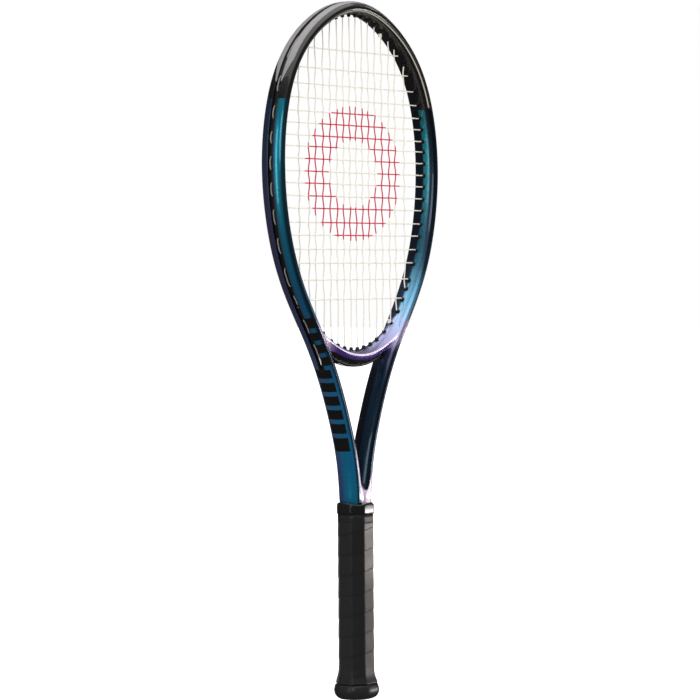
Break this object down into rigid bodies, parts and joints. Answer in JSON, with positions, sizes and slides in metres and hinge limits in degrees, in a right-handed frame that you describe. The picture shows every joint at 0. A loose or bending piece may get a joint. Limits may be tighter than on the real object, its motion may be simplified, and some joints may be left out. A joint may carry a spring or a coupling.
{
  "type": "tennis racket",
  "caption": "Strung tennis racket with a round head, an open throat bridge, woven strings, a bumper guard and a wrapped octagonal handle ending in a flared butt.",
  "frame": {"origin": "middle of the butt end", "axes": "+Z along the racket from the butt to the head tip, X across the head, Y through its depth; the strings lie in the plane Y = 0 and the front is -Y"},
  "size_m": [0.2736, 0.0416, 0.6858],
  "materials": {
    "frame_paint": "gloss two-tone lacquer over carbon fibre, teal and violet-navy",
    "bridge_paint": "gloss violet lacquer over carbon fibre",
    "grommet": "satin black nylon",
    "guard": "satin charcoal nylon",
    "string": "cream monofilament",
    "pallet_foam": "moulded polyurethane foam",
    "butt_plastic": "satin black plastic",
    "door_plastic": "satin black plastic",
    "staple_steel": "zinc-coated wire",
    "grip": "black synthetic leather wrap",
    "tape": "black adhesive tape",
    "collar_rubber": "glossy black rubber"
  },
  "bodies": {
    "racket": {"hoop_and_shafts": "frame_paint", "throat_bridge": "bridge_paint", "side_grommet_strip_right": "grommet", "side_grommet_strip_left": "grommet", "bumper_guard": "guard", "throat_grommet_strip": "grommet", "main_string": "string", "cross_string": "string", "main_knot_right": "string", "main_knot_left": "string", "cross_knot_top": "string", "cross_knot_bottom": "string", "handle_pallet": "pallet_foam", "butt_cap": "butt_plastic", "butt_staple_right": "staple_steel", "butt_staple_left": "staple_steel", "grip_tack": "staple_steel", "grip_wrap": "grip", "finishing_tape": "tape"},
    "trap_door": {"trap_door": "door_plastic"},
    "collar": {"rubber_collar": "collar_rubber"}
  },
  "joints": [
    {"name": "trap_door_pull", "type": "slide", "parent": "racket", "child": "trap_door", "axis": [0, 0, -1], "range_m": [0, 0.012]},
    {"name": "collar_slide", "type": "slide", "parent": "racket", "child": "collar", "axis": [0, 0, 1], "range_m": [0, 0.012]}
  ]
}
